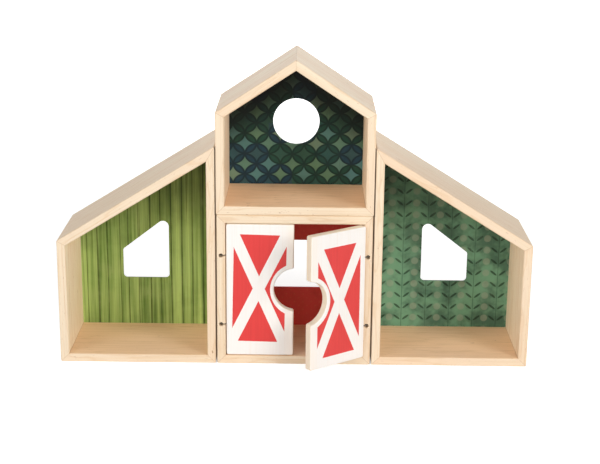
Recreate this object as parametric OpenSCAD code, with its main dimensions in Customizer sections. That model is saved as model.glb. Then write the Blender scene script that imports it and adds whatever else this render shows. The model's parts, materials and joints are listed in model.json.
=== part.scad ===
// A wooden toy barn made of four open boxes: a stable with two hinged doors,
// a gabled loft standing on it, and a lean-to wing at each side.
// The origin lies on the ground, under the middle of the stable.
// X runs to the right, the open fronts face -Y and Z is up.

/* [Boards] */
// Thickness of every board and door
board_t = 9; // [7:0.5:12]
// Depth of the barn from front to back
depth = 100; // [80:1:140]
// Width of the easing along the long edges of boards and doors
edge_ease = 1; // [0.5:0.1:1.5]

/* [Back panels] */
// Thickness of a back panel
panel_t = 3; // [2:0.5:4]
// Distance of a back panel from the rear edge of its box
panel_inset = 3; // [2:0.5:8]
// How deep a back panel enters the boards round it
groove_depth = 3; // [2:0.5:4]
// Clearance round a back panel in its groove
groove_play = 0.1; // [0.05:0.05:0.3]

/* [Stable] */
// Outer width of the stable
stable_w = 158.6; // [140:0.2:180]
// Outer height of the stable
stable_h = 160; // [140:1:190]
// Width of the window in the back of the stable
stable_window_w = 66; // [40:1:90]
// Height of the window in the back of the stable
stable_window_h = 54; // [30:1:70]
// Height of that window above the ground
stable_window_z = 52.5; // [30:0.5:70]

/* [Loft] */
// How far the loft stands out past the stable at each side
loft_overhang = 0.7; // [0:0.1:3]
// Height of the loft at its eaves, above the stable
loft_eave_h = 104.5; // [80:0.5:130]
// Height of the loft at its ridge, above the stable
loft_ridge_h = 157.5; // [135:0.5:190]
// Radius of the round window in the back of the loft
loft_window_r = 24.5; // [10:0.5:30]
// Height of the middle of that window above the stable
loft_window_z = 77.3; // [60:0.1:85]

/* [Wings] */
// Outer width of one wing
wing_w = 161.4; // [130:0.2:190]
// Height of a wing at its low outer side
wing_eave_h = 130.5; // [115:0.5:150]
// Height of a wing at its high side, next to the loft
wing_top_h = 230.5; // [190:0.5:250]
// Gap between a wing and the loft
wing_gap = 0.3; // [0.2:0.1:3]
// Width of a wing window
wing_window_w = 50; // [30:0.5:70]
// How far a wing window stands outward of the middle of its wing
wing_window_out = 1; // [0:0.5:10]
// Height of a wing window above the ground
wing_window_z = 61.8; // [40:0.1:70]
// Height of a wing window at its low side
wing_window_low_h = 32.3; // [20:0.1:40]
// Height of a wing window at its high side
wing_window_high_h = 70.8; // [45:0.1:90]

/* [Doors] */
// Gap between a door and the wall that it hangs on
door_side_gap = 0.9; // [0.8:0.1:2]
// Gap between the two doors where they meet
door_meeting_gap = 0.9; // [0.6:0.1:2]
// Gap above and below a door
door_end_gap = 0.6; // [0.4:0.1:2]
// Radius of each half of the finger hole that the two doors share
finger_hole_r = 23; // [12:0.5:30]
// How far the middle of that half round lies past the free edge of its door
finger_hole_past = 2.6; // [0:0.1:6]
// Height of the middle of the finger hole above the ground
finger_hole_z = 81; // [70:1:90]
// Angle that the left door stands open
left_door_open = 0; // [0:1:60]
// Angle that the right door stands open
right_door_open = 37; // [0:1:60]

/* [Hinges] */
// Height of the lower hinges above the ground
lower_hinge_z = 43; // [30:1:55]
// Height of the upper hinges above the ground
upper_hinge_z = 117; // [105:1:125]
// Distance of the hinge axis behind the front of the barn
hinge_depth = 3; // [2.6:0.1:3.5]
// Diameter of the wire of the hinge eyes and staples
wire_d = 1; // [0.8:0.1:1.2]
// Running clearance between a staple and the eye that turns on it
eye_play = 0.05; // [0.03:0.01:0.08]
// Clearance of the wire in the holes that it is driven into
drive_play = 0.02; // [0.01:0.01:0.05]
// Clearance between the moving eye and the wood round it
pocket_play = 0.4; // [0.35:0.05:0.5]
// Free height on a staple above and below its eye
staple_play = 0.3; // [0.2:0.05:0.4]
// Length of a staple leg behind the hinge axis
staple_leg = 10; // [7:0.5:16]
// Length of an eye shank inside the door
eye_shank = 10; // [6:0.5:20]

/* [Windows] */
// Radius of the corners of the straight sided windows
window_corner_r = 4; // [2:0.5:6]
// Radius of the high corner of a wing window
wing_window_peak_r = 6.2; // [2:0.1:9]

/* [Hidden] */
$fn = 64;
front_y = -depth / 2;
back_y = depth / 2;
panel_back_y = back_y - panel_inset;
panel_front_y = panel_back_y - panel_t;
// How far a cutter runs past the face that it cuts
overcut = 1;

wire_r = wire_d / 2;
eye_bore_r = wire_r + eye_play;
eye_ring_r = eye_bore_r + wire_r;
eye_outer_r = eye_ring_r + wire_r;
staple_half_h = wire_r + staple_play + wire_r;
pocket_r = max(eye_outer_r, staple_half_h + wire_r) + pocket_play;
slot_half_h = wire_r + pocket_play;
slot_depth = hinge_depth + wire_r + pocket_play;
pocket_depth = hinge_depth + eye_outer_r + pocket_play;
hinge_heights = [lower_hinge_z, upper_hinge_z];

hinge_x = (stable_w - board_t) / 2;
hinge_y = front_y + hinge_depth;
door_start = board_t / 2 + door_side_gap;
door_end = hinge_x - door_meeting_gap / 2;
door_low_z = board_t + door_end_gap;
door_high_z = stable_h - board_t - door_end_gap;

loft_w = stable_w + 2 * loft_overhang;
wing_inner_x = loft_w / 2 + wing_gap;
wing_outer_x = wing_inner_x + wing_w;
wing_window_left = wing_inner_x + (wing_w - wing_window_w) / 2 + wing_window_out;
wing_window_right = wing_window_left + wing_window_w;

// Corners of each box seen from the front, anticlockwise from the bottom left
stable_corners = [[-stable_w / 2, 0], [stable_w / 2, 0],
    [stable_w / 2, stable_h], [-stable_w / 2, stable_h]];
loft_corners = [[-loft_w / 2, stable_h], [loft_w / 2, stable_h],
    [loft_w / 2, stable_h + loft_eave_h], [0, stable_h + loft_ridge_h],
    [-loft_w / 2, stable_h + loft_eave_h]];
wing_corners = [[wing_inner_x, 0], [wing_outer_x, 0],
    [wing_outer_x, wing_eave_h], [wing_inner_x, wing_top_h]];

stable_window_corners = [[-stable_window_w / 2, stable_window_z],
    [stable_window_w / 2, stable_window_z],
    [stable_window_w / 2, stable_window_z + stable_window_h],
    [-stable_window_w / 2, stable_window_z + stable_window_h]];
wing_window_corners = [[wing_window_left, wing_window_z],
    [wing_window_right, wing_window_z],
    [wing_window_right, wing_window_z + wing_window_low_h],
    [wing_window_left, wing_window_z + wing_window_high_h]];
stable_window_radii = [for (corner = stable_window_corners) window_corner_r];
wing_window_radii = [window_corner_r, window_corner_r, window_corner_r, wing_window_peak_r];

// Colours seen in the photograph
pale_wood = [0.95, 0.85, 0.70];
door_white = [0.97, 0.95, 0.93];
loft_teal = [0.18, 0.26, 0.25];
stable_red = [0.49, 0.13, 0.12];
left_wing_green = [0.42, 0.52, 0.24];
right_wing_green = [0.34, 0.50, 0.36];
steel = [0.62, 0.60, 0.57];

// Unit vector from one point to another
function heading(from, to) = (to - from) / norm(to - from);

// The same vector turned a quarter turn to the left
function left_of(v) = [-v[1], v[0]];

// One corner of an anticlockwise outline moved inward by a distance from both of its sides
function inset_corner(corners, i, wall) =
    let (
        n = len(corners),
        before = left_of(heading(corners[(i + n - 1) % n], corners[i])),
        after = left_of(heading(corners[i], corners[(i + 1) % n]))
    )
    corners[i] + wall * (before + after) / (1 + before * after);

// Corners of an anticlockwise outline moved inward by a wall thickness
function inset(corners, wall) = [
    for (i = [0 : len(corners) - 1]) inset_corner(corners, i, wall)
];

// A front view outline made solid between two distances from front to back
module upright(from_y, to_y) {
    translate([0, to_y, 0]) rotate([90, 0, 0]) linear_extrude(to_y - from_y) children();
}

// A rectangle from one corner to the opposite one, with eased corners
module eased_rectangle(low, high) {
    e = edge_ease;
    polygon([
        [low[0] + e, low[1]], [high[0] - e, low[1]],
        [high[0], low[1] + e], [high[0], high[1] - e],
        [high[0] - e, high[1]], [low[0] + e, high[1]],
        [low[0], high[1] - e], [low[0], low[1] + e]
    ]);
}

// A straight board with eased long edges on one side of a box outline
module eased_board(from, to) {
    turn = atan2(to[1] - from[1], to[0] - from[0]);
    translate([from[0], 0, from[1]]) rotate([0, -turn, 0]) rotate([90, 0, 90])
        linear_extrude(norm(to - from)) eased_rectangle([front_y, 0], [back_y, board_t]);
}

// The groove that holds the back panel of a box
module panel_groove(corners) {
    upright(panel_front_y - groove_play, panel_back_y + groove_play)
        polygon(inset(corners, board_t - groove_depth));
}

// One board of a box, mitred at both ends and grooved for the back panel
module box_board(corners, side) {
    inner = inset(corners, board_t);
    next = (side + 1) % len(corners);
    difference() {
        intersection() {
            eased_board(corners[side], corners[next]);
            upright(front_y, back_y)
                polygon([corners[side], corners[next], inner[next], inner[side]]);
        }
        panel_groove(corners);
    }
}

// The thin back panel of a box, with its window cut by the children
module back_panel(corners) {
    difference() {
        upright(panel_front_y, panel_back_y)
            polygon(inset(corners, board_t - groove_depth + groove_play));
        upright(panel_front_y - overcut, panel_back_y + overcut) children();
    }
}

// A straight sided window outline with its corners rounded, each to its own radius
module rounded_window(corners, radii) {
    n = len(corners);
    middles = [for (i = [0 : n - 1]) inset_corner(corners, i, radii[i])];
    for (i = [0 : n - 1]) {
        next = (i + 1) % n;
        out = -left_of(heading(corners[i], corners[next]));
        translate(middles[i]) circle(radii[i]);
        polygon([middles[i] + radii[i] * out, middles[next] + radii[next] * out,
            middles[next], middles[i]]);
    }
    polygon(middles);
}

// Turns a shape made for the right wing into one for the left wing
module left_hand() {
    mirror([1, 0, 0]) children();
}

// The pocket, slot and staple holes of one hinge, cut in a wall right of the barn's middle
module hinge_cuts(height) {
    translate([hinge_x, front_y, height]) {
        rotate([-90, 0, 0]) translate([0, 0, -overcut]) cylinder(h = pocket_depth + overcut, r = pocket_r);
        translate([-board_t / 2 - overcut, -overcut, -slot_half_h])
            cube([board_t / 2 + overcut, slot_depth + overcut, 2 * slot_half_h]);
        for (side = [-1, 1])
            translate([0, 0, side * staple_half_h]) rotate([-90, 0, 0])
                cylinder(h = hinge_depth + staple_leg + drive_play, r = wire_r + drive_play);
    }
}

module stable_floor() {
    color(pale_wood) box_board(stable_corners, 0);
}

module stable_right_wall() {
    color(pale_wood) difference() {
        box_board(stable_corners, 1);
        for (height = hinge_heights) hinge_cuts(height);
    }
}

module stable_top() {
    color(pale_wood) box_board(stable_corners, 2);
}

// The two side walls are a mirrored pair
module stable_left_wall() {
    left_hand() stable_right_wall();
}

module stable_back_panel() {
    color(stable_red) back_panel(stable_corners)
        rounded_window(stable_window_corners, stable_window_radii);
}

module loft_floor() {
    color(pale_wood) box_board(loft_corners, 0);
}

module loft_right_wall() {
    color(pale_wood) box_board(loft_corners, 1);
}

module loft_right_roof() {
    color(pale_wood) box_board(loft_corners, 2);
}

module loft_left_roof() {
    color(pale_wood) box_board(loft_corners, 3);
}

module loft_left_wall() {
    color(pale_wood) box_board(loft_corners, 4);
}

module loft_back_panel() {
    color(loft_teal) back_panel(loft_corners)
        translate([0, stable_h + loft_window_z]) circle(loft_window_r);
}

// The pieces of the right wing; those of the left wing are their mirror images
module right_wing_floor() {
    color(pale_wood) box_board(wing_corners, 0);
}

module right_wing_outer_wall() {
    color(pale_wood) box_board(wing_corners, 1);
}

module right_wing_roof() {
    color(pale_wood) box_board(wing_corners, 2);
}

module right_wing_inner_wall() {
    color(pale_wood) box_board(wing_corners, 3);
}

module wing_panel() {
    back_panel(wing_corners) rounded_window(wing_window_corners, wing_window_radii);
}

module right_wing_back_panel() {
    color(right_wing_green) wing_panel();
}

module left_wing_floor() {
    left_hand() right_wing_floor();
}

module left_wing_outer_wall() {
    left_hand() right_wing_outer_wall();
}

module left_wing_roof() {
    left_hand() right_wing_roof();
}

module left_wing_inner_wall() {
    left_hand() right_wing_inner_wall();
}

module left_wing_back_panel() {
    color(left_wing_green) left_hand() wing_panel();
}

// Places a shape made round the hinge axis at the left door's hinges
module on_left_axis(open = 0) {
    translate([-hinge_x, hinge_y, 0]) rotate([0, 0, -open]) children();
}

// Places the same shape, mirrored, at the right door's hinges
module on_right_axis(open = 0) {
    translate([hinge_x, hinge_y, 0]) rotate([0, 0, open]) left_hand() children();
}

// A closed door that reaches to the right from its hinge axis at the origin
module door() {
    front = -hinge_depth;
    back = board_t - hinge_depth;
    difference() {
        intersection() {
            translate([0, 0, door_low_z]) linear_extrude(door_high_z - door_low_z)
                eased_rectangle([door_start, front], [door_end, back]);
            rotate([90, 0, 90]) linear_extrude(door_end)
                eased_rectangle([front, door_low_z], [back, door_high_z]);
        }
        translate([door_end + finger_hole_past, 0, finger_hole_z]) rotate([90, 0, 0])
            cylinder(h = 2 * (board_t + overcut), r = finger_hole_r, center = true);
        for (height = hinge_heights)
            translate([0, 0, height]) rotate([0, 90, 0])
                cylinder(h = door_start + eye_shank + drive_play, r = wire_r + drive_play);
    }
}

// A wire eye round the hinge axis, with a straight shank that runs into the door
module hinge_eye(height) {
    translate([0, 0, height]) {
        rotate_extrude() translate([eye_ring_r, 0]) circle(wire_r);
        translate([eye_ring_r, 0, 0]) rotate([0, 90, 0])
            cylinder(h = door_start + eye_shank - eye_ring_r, r = wire_r);
    }
}

// A wire staple whose upright middle is the hinge pin and whose legs run into the wall
module hinge_staple(height) {
    translate([0, 0, height]) {
        cylinder(h = 2 * staple_half_h, r = wire_r, center = true);
        for (side = [-1, 1])
            translate([0, 0, side * staple_half_h]) {
                sphere(wire_r);
                rotate([-90, 0, 0]) cylinder(h = staple_leg, r = wire_r);
            }
    }
}

module left_door() {
    color(door_white) on_left_axis(left_door_open) door();
}

module left_lower_hinge_eye() {
    color(steel) on_left_axis(left_door_open) hinge_eye(lower_hinge_z);
}

module left_upper_hinge_eye() {
    color(steel) on_left_axis(left_door_open) hinge_eye(upper_hinge_z);
}

module left_lower_hinge_staple() {
    color(steel) on_left_axis() hinge_staple(lower_hinge_z);
}

module left_upper_hinge_staple() {
    color(steel) on_left_axis() hinge_staple(upper_hinge_z);
}

module right_door() {
    color(door_white) on_right_axis(right_door_open) door();
}

module right_lower_hinge_eye() {
    color(steel) on_right_axis(right_door_open) hinge_eye(lower_hinge_z);
}

module right_upper_hinge_eye() {
    color(steel) on_right_axis(right_door_open) hinge_eye(upper_hinge_z);
}

module right_lower_hinge_staple() {
    color(steel) on_right_axis() hinge_staple(lower_hinge_z);
}

module right_upper_hinge_staple() {
    color(steel) on_right_axis() hinge_staple(upper_hinge_z);
}

stable_floor();
stable_right_wall();
stable_top();
stable_left_wall();
stable_back_panel();
loft_floor();
loft_right_wall();
loft_right_roof();
loft_left_roof();
loft_left_wall();
loft_back_panel();
left_wing_floor();
left_wing_outer_wall();
left_wing_roof();
left_wing_inner_wall();
left_wing_back_panel();
right_wing_floor();
right_wing_outer_wall();
right_wing_roof();
right_wing_inner_wall();
right_wing_back_panel();
left_door();
left_lower_hinge_eye();
left_upper_hinge_eye();
left_lower_hinge_staple();
left_upper_hinge_staple();
right_door();
right_lower_hinge_eye();
right_upper_hinge_eye();
right_lower_hinge_staple();
right_upper_hinge_staple();
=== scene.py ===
"""Toy barn with opening doors: four open boxes of mitred boards with printed back panels, and two
painted doors that hang on wire eyes and staples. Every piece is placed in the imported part's frame."""

import json
import math
import random

import bmesh
import bpy
from bpy.props import FloatProperty, FloatVectorProperty, IntProperty, PointerProperty
from mathutils import Matrix, Vector, geometry


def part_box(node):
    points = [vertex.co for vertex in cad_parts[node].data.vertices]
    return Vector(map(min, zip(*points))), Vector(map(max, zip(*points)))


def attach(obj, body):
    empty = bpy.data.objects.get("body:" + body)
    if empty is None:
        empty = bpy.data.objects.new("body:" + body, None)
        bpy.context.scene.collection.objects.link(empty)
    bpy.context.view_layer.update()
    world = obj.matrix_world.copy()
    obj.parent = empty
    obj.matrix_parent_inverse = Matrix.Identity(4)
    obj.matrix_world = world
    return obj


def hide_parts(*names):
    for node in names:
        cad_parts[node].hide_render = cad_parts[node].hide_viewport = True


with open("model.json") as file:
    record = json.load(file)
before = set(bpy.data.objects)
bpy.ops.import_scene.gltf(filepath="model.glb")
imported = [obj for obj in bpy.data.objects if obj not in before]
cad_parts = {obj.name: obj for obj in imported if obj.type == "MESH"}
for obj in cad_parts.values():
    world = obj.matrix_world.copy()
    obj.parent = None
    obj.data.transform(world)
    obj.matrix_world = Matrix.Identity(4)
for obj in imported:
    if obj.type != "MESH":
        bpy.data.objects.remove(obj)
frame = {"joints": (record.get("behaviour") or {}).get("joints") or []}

bl_info = {
    "name": "Toy barn with opening doors",
    "version": (1, 0, 0),
    "blender": (4, 5, 0),
    "location": "3D View > Sidebar > Toy barn",
    "description": "Builds the boards, printed panels, doors and hinges of a wooden toy barn",
    "category": "Add Mesh",
}

MM = 0.001
SHARP = math.radians(35)
BLACK = (0.0, 0.0, 0.0)
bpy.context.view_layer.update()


def low(node):
    """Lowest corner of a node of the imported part."""
    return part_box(node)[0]


def high(node):
    """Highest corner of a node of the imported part."""
    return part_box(node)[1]


def outline(*corners):
    """Front view outline as flat vectors."""
    return [Vector(corner) for corner in corners]


def wing_outline(wing, outer, inner):
    """Corners of one wing, from its outer and inner x, anticlockwise for a wing on the right."""
    ground = low(wing + "_floor").z
    return outline((inner, ground), (outer, ground), (outer, high(wing + "_outer_wall").z),
                   (inner, high(wing + "_roof").z))


def mirrored(corners):
    """The outline mirrored to the barn's other side, anticlockwise, with the same first side."""
    flipped = [Vector((-corner.x, corner.y)) for corner in corners]
    return [flipped[1], flipped[0], *reversed(flipped[2:])]


STABLE = outline((low("stable_floor").x, low("stable_floor").z),
                 (high("stable_floor").x, low("stable_floor").z),
                 (high("stable_floor").x, high("stable_top").z),
                 (low("stable_floor").x, high("stable_top").z))
LOFT = outline((low("loft_floor").x, low("loft_floor").z),
               (high("loft_floor").x, low("loft_floor").z),
               (high("loft_floor").x, high("loft_right_wall").z),
               (0, high("loft_right_roof").z),
               (low("loft_floor").x, high("loft_left_wall").z))
RIGHT_WING = wing_outline("right_wing", high("right_wing_floor").x, low("right_wing_floor").x)
LEFT_WING = mirrored(wing_outline("left_wing", -low("left_wing_floor").x,
                                  -high("left_wing_floor").x))
BOXES = {
    "stable": (STABLE, ("floor", "right_wall", "top", "left_wall")),
    "loft": (LOFT, ("floor", "right_wall", "right_roof", "left_roof", "left_wall")),
    "left_wing": (LEFT_WING, ("floor", "inner_wall", "roof", "outer_wall")),
    "right_wing": (RIGHT_WING, ("floor", "outer_wall", "roof", "inner_wall")),
}
# Height up to which another box meets a wall's outer face, and one below all other boards; the painted
# gap shadow reaches up to it
TOUCHING = {
    node.format(side): high(f"{side}_wing_inner_wall").z
    for side in ("left", "right")
    for node in ("stable_{}_wall", "loft_{}_wall", "{}_wing_inner_wall")
}
UNTOUCHED = -1.0
# How far the loft's joint with a wing reaches down, before the stable's joint follows; the painted gap
# shadow is darker along the loft
LOFT_JOINT = high("left_wing_inner_wall").z - high("stable_left_wall").z
JOINTS = {joint["child"]: joint for joint in frame["joints"]}
FRONT = low("stable_floor").y
BACK = high("stable_floor").y
PANEL_FRONT = low("loft_back_panel").y
PANEL_BACK = high("loft_back_panel").y

# Place and size of each square lamp, in metres
LAMPS = {
    "right": ((1.8, -1.85, 1.15), 1.2),
    "left": ((-1.85, -1.8, 1.15), 1.4),
    "middle": ((0, -2.4, 1.2), 1.6),
    "rear": ((0, 2.4, 0.8), 1.6),
}


def tone(code):
    """A colour written as six hexadecimal digits, in the linear values that shaders take."""
    parts = [int(code[i:i + 2], 16) / 255 for i in (0, 2, 4)]
    return [part / 12.92 if part <= 0.04045 else ((part + 0.055) / 1.055) ** 2.4
            for part in parts]


def length(description, default):
    """A length that a user may change, given in millimetres."""
    return FloatProperty(description=description, default=default * MM, min=0, precision=5,
                         unit="LENGTH", subtype="DISTANCE")


def number(description, default, unit="NONE"):
    """Any other number that a user may change."""
    return FloatProperty(description=description, default=default, unit=unit)


def angle(description, degrees):
    """An angle that a user may change."""
    return FloatProperty(description=description, default=math.radians(degrees), subtype="ANGLE")


def colour(description, code):
    """A colour that a user may change."""
    return FloatVectorProperty(description=description, default=tone(code), min=0, max=1,
                               size=3, subtype="COLOR")


class BoardSizes(bpy.types.PropertyGroup):
    """Sizes that all the boards share"""
    thickness: length("Thickness of a board", high("stable_floor").z / MM)
    edge_radius: length("Rounding of a board's long edges", 1.2)
    corner_radius: length("Rounding of a box's outer corners", 1.6)
    groove_depth: length("How deep a back panel enters the boards", 3)
    groove_play: length("Clearance round a back panel in its groove", 0.1)


class WindowSizes(bpy.types.PropertyGroup):
    """Sizes of the windows in the back panels"""
    round_radius: length("Radius of the loft's round window", 24.5)
    round_height: length("Middle of the loft's window above its underside", 77.3)
    stable_width: length("Width of the stable's window", 66)
    stable_rise: length("Height of the stable's window", 54)
    stable_sill: length("Lower edge of the stable's window above the ground", 52.5)
    wing_width: length("Width of a wing's window", 50)
    wing_out: length("How far a wing's window stands outward of the wing's middle", 1)
    wing_sill: length("Lower edge of a wing's window above the ground", 61.8)
    wing_low_rise: length("Height at the window's low side", 32.3)
    wing_high_rise: length("Height at the window's high side", 70.8)
    corner_radius: length("Rounding of the windows' corners", 4)
    peak_radius: length("Rounding of a wing window's high corner", 6.2)
    edge_radius: length("Easing of the sawn window edges", 0.4)


class DoorSizes(bpy.types.PropertyGroup):
    """Sizes of the doors and of the print on them"""
    edge_radius: length("Rounding of a door's edges", 1.5)
    corner_radius: length("Rounding of a door's corners, seen from the front", 2)
    notch_radius: length("Radius of a door's half of the finger hole", 23)
    notch_past: length("Middle of the finger hole past the door's free edge", 2.6)
    notch_height: length("Middle of the finger hole above the ground", 81)
    print_centre: length("Middle of the cross, from the hinge axis", 38.6)
    left_print_height: length("Middle of the left cross above the ground", 82.1)
    right_print_height: length("Middle of the right cross above the ground", 78)
    left_print_turn: angle("How far the left print is turned clockwise", 1.2)
    field_centre: length("Middle of the red field, from the hinge axis", 39.1)
    field_half_width: length("Half the width of the red field", 26.9)
    field_half_height: length("Half the height of the red field", 57.4)
    bar_width: length("Width of the white bars of the cross", 11.1)
    bar_slope: number("Rise of the bars over their run", 2.16)
    ring_radius: length("Radius of the white ring round the finger hole", 28.9)
    ring_centre: length("Middle of that ring, from the hinge axis", 79.1)
    paint_reach: length("How far the print wraps round the front edge", 0.5)


class PrintSizes(bpy.types.PropertyGroup):
    """Sizes of the patterns on the back panels"""
    circle: length("Size of the loft's overlapping circles", 24)
    circle_columns: length("Distance between the columns of circles", 25.2)
    circle_rows: length("Distance between the rows of circles", 22.3)
    circle_x: length("A column's place right of the barn's middle", 8.5)
    circle_z: length("A row's place above the ground", 224.2)
    plank: length("Mean width of the left wing's planks", 11.5)
    stems: length("Distance between the right wing's stems", 26)
    leaf_rows: length("Distance between the pairs of leaves", 13)
    leaf_out: length("Middle of a leaf from its stem", 4.8)
    leaf_long: length("Half the length of a leaf", 4.6)
    leaf_wide: length("Half the width of a leaf", 1.25)
    leaf_turn: angle("Rise of a leaf from its stem", 38)
    berry: length("Radius of a berry", 3.8)
    dots: length("Distance between the stable's dots", 9)
    dot: length("Radius of a dot", 0.9)


class HingeSizes(bpy.types.PropertyGroup):
    """Sizes of the wire hinges and of their pockets"""
    wire: length("Diameter of the hinge wire", 1)
    eye_play: length("Clearance between a staple and its eye", 0.05)
    staple_half: length("From the eye's middle to a staple leg", 1.3)
    staple_bend: length("Bend radius of a staple", 0.55)
    staple_leg: length("Length of a staple leg behind the axis", 10)
    shank: length("Length of an eye's shank inside the door", 10)
    pocket_radius: length("Radius of the drilled pocket", 2.2)
    pocket_depth: length("Depth of the drilled pocket", 4.95)
    slot_half: length("Half the height of the slot for the shank", 0.9)
    slot_depth: length("Depth of the slot for the shank", 3.9)
    pocket_flare: length("Easing of the pocket's mouth", 0.15)


class Finishes(bpy.types.PropertyGroup):
    """Colours of the wood, the paint, the prints and the wire"""
    wood_light: colour("Pale ground of the boards", "f1ddc1")
    # Painted light: the inner faces of the walls and roofs, and the floors' upper faces, take brighter,
    # warmer copies of the wood, standing in for light bounced inside the boxes.
    wood_inside: colour("Ground of the walls' and roofs' inner faces", "ffeed2")
    wood_floor: colour("Warmer ground of the floors' upper faces", "ffd8b0")
    wood_dark: colour("Late wood lines of the boards", "dfb98a")
    wood_pink: colour("Warmer zones of the boards", "eccbab")
    wood_fleck: colour("Short flecks in the grain", "a9784c")
    seam: colour("Glue line of a mitre", "a8763f")
    # Painted shadow: a dark brown laid on a board's outer face near the front, where another box meets
    # it, standing in for the shade in the gap.
    joint: colour("Edges where two boxes meet", "4a2c14")
    door_white: colour("White paint of the doors", "f7f3ee")
    # Painted light: a warm bounce tint laid on the white toward each door's free edge.
    door_warm: colour("Warmer white toward a door's free edge", "fff1e2")
    door_edge: colour("Thin white coat on the sides of the doors", "f5e6d0")
    door_red: colour("Red print of the doors", "dd3936")
    door_streak: colour("Darker streaks in that red", "b02326")
    stable_ground: colour("Ground of the stable's print", "eb5550")
    stable_dot: colour("Dots of the stable's print", "ea7860")
    stable_glint: colour("Pale mottling of the stable's print", "c04c3c")
    loft_ground: colour("Ground of the loft's print", "171f20")
    loft_petal: colour("Green petals of the loft's print", "274d3f")
    loft_night: colour("Blue petals of the loft's print", "264351")
    loft_green: colour("Green fields of the loft's print", "678969")
    loft_blue: colour("Blue fields of the loft's print", "588584")
    loft_sage: colour("Greyer fields of the loft's print", "808f6e")
    loft_glint: colour("Pale mottling of the loft's print", "2a4244")
    plank_light: colour("Light tone of the left wing's planks", "c3de82")
    plank_dark: colour("Dark tone of the left wing's planks", "63833a")
    plank_gap: colour("Lines between the left wing's planks", "2c3c10")
    plank_glint: colour("Pale mottling of the planks", "b4c47c")
    leaf_ground: colour("Ground of the right wing's print", "72a281")
    leaf_shade: colour("Darker cloud in that ground", "4e705a")
    leaf_dark: colour("Leaf strokes of the right wing's print", "11251a")
    leaf_dot: colour("Soft dots of the right wing's print", "9ba68f")
    leaf_glint: colour("Pale mottling of the right wing's print", "7da388")
    # Painted shade: a near-black laid over the prints below the roofs and in the wings' high corners,
    # where shade falls.
    dusk: colour("Deep shade of the prints under the roofs", "050505")
    steel: colour("Hinge wire", "7c766d")
    steel_dull: colour("Dull patches of the wire", "6d665c")


class StageSizes(bpy.types.PropertyGroup):
    """The floor, the lamps and the camera"""
    floor_radius: number("Radius of the round floor", 8, "LENGTH")
    floor_sides: IntProperty(description="Number of sides of the round floor", default=96)
    floor_white: colour("Colour of the floor", "f2f2f2")
    floor_cloud: colour("Slightly darker clouds of the floor", "e8e8e8")
    floor_glow: number("What the camera sees added to the floor's light", 0.6)
    white_from: number("Where the floor starts to turn white", 0.3, "LENGTH")
    white_at: number("Distance at which the floor is white", 1.3, "LENGTH")
    world_light: number("Light from all round", 0.2)
    right_power: number("Power of the right front lamp", 40, "POWER")
    left_power: number("Power of the left front lamp", 30, "POWER")
    middle_power: number("Power of the lamp in front", 8, "POWER")
    rear_power: number("Power of the lamp behind the barn", 18, "POWER")
    lens: number("Focal length on a 36 mm sensor", 82.08, "CAMERA")
    camera_spot: FloatVectorProperty(description="Place of the camera", subtype="TRANSLATION",
                                     default=(0.01039, -1.37592, 0.53036))
    camera_turn: FloatVectorProperty(description="Direction of the camera", subtype="EULER",
                                     default=[math.radians(turn)
                                              for turn in (73.7142, -0.5702, 0.3826)])


def heading(start, end):
    """Unit vector from one point to another."""
    return (end - start).normalized()


def left_of(direction):
    """The same flat vector turned a quarter turn to the left."""
    return Vector((-direction.y, direction.x))


def inset(corners, distance):
    """An anticlockwise outline moved inward by a distance."""
    moved = []
    for i, corner in enumerate(corners):
        before = left_of(heading(corners[i - 1], corner))
        after = left_of(heading(corner, corners[(i + 1) % len(corners)]))
        moved.append(corner + (before + after) * (distance / (1 + before.dot(after))))
    return moved


def arc(centre, radius, first, last, steps):
    """Points on a flat arc between two angles, both ends included."""
    turns = [first + (last - first) * i / steps for i in range(steps + 1)]
    return [Vector((centre[0] + radius * math.cos(a), centre[1] + radius * math.sin(a)))
            for a in turns]


def filleted(corners, radii, steps=6):
    """An outline with each corner rounded by its own radius, where that isn't zero."""
    points = []
    for i, (corner, radius) in enumerate(zip(corners, radii)):
        if radius == 0:
            points.append(corner)
            continue
        back = heading(corner, corners[i - 1])
        ahead = heading(corner, corners[(i + 1) % len(corners)])
        half = back.angle(ahead) / 2
        centre = corner + (back + ahead).normalized() * (radius / math.sin(half))
        first = corner + back * (radius / math.tan(half)) - centre
        last = corner + ahead * (radius / math.tan(half)) - centre
        start = math.atan2(first.y, first.x)
        sweep = math.atan2(first.x * last.y - first.y * last.x, first.dot(last))
        points += arc(centre, radius, start, start + sweep, steps)
    return points


def solid_mesh(name, vertices, faces, materials=None):
    """A closed mesh with its faces outward, smooth but for its sharp edges."""
    mesh = bpy.data.meshes.new(name)
    mesh.from_pydata(vertices, [], faces)
    if materials:
        mesh.polygons.foreach_set("material_index", materials)
    work = bmesh.new()
    work.from_mesh(mesh)
    bmesh.ops.remove_doubles(work, verts=work.verts, dist=1e-7)
    bmesh.ops.recalc_face_normals(work, faces=work.faces)
    work.to_mesh(mesh)
    work.free()
    mesh.shade_smooth()
    mesh.set_sharp_from_angle(angle=SHARP)
    return mesh


def ring_faces(rings, sides, closed_ends=True):
    """Faces of a skin over rings of points that follow each other in one list."""
    faces = []
    for ring in range(rings - 1):
        for side in range(sides):
            following = (side + 1) % sides
            faces.append((ring * sides + side, ring * sides + following,
                          (ring + 1) * sides + following, (ring + 1) * sides + side))
    if closed_ends:
        faces.append(tuple(range(sides))[::-1])
        faces.append(tuple((rings - 1) * sides + side for side in range(sides)))
    return faces


def store(mesh, name, rule):
    """Keeps a vector for each vertex, worked out from its place, for the materials to read."""
    layer = mesh.attributes.new(name, "FLOAT_VECTOR", "POINT")
    for vertex, slot in zip(mesh.vertices, layer.data):
        slot.vector = rule(vertex.co)


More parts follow.
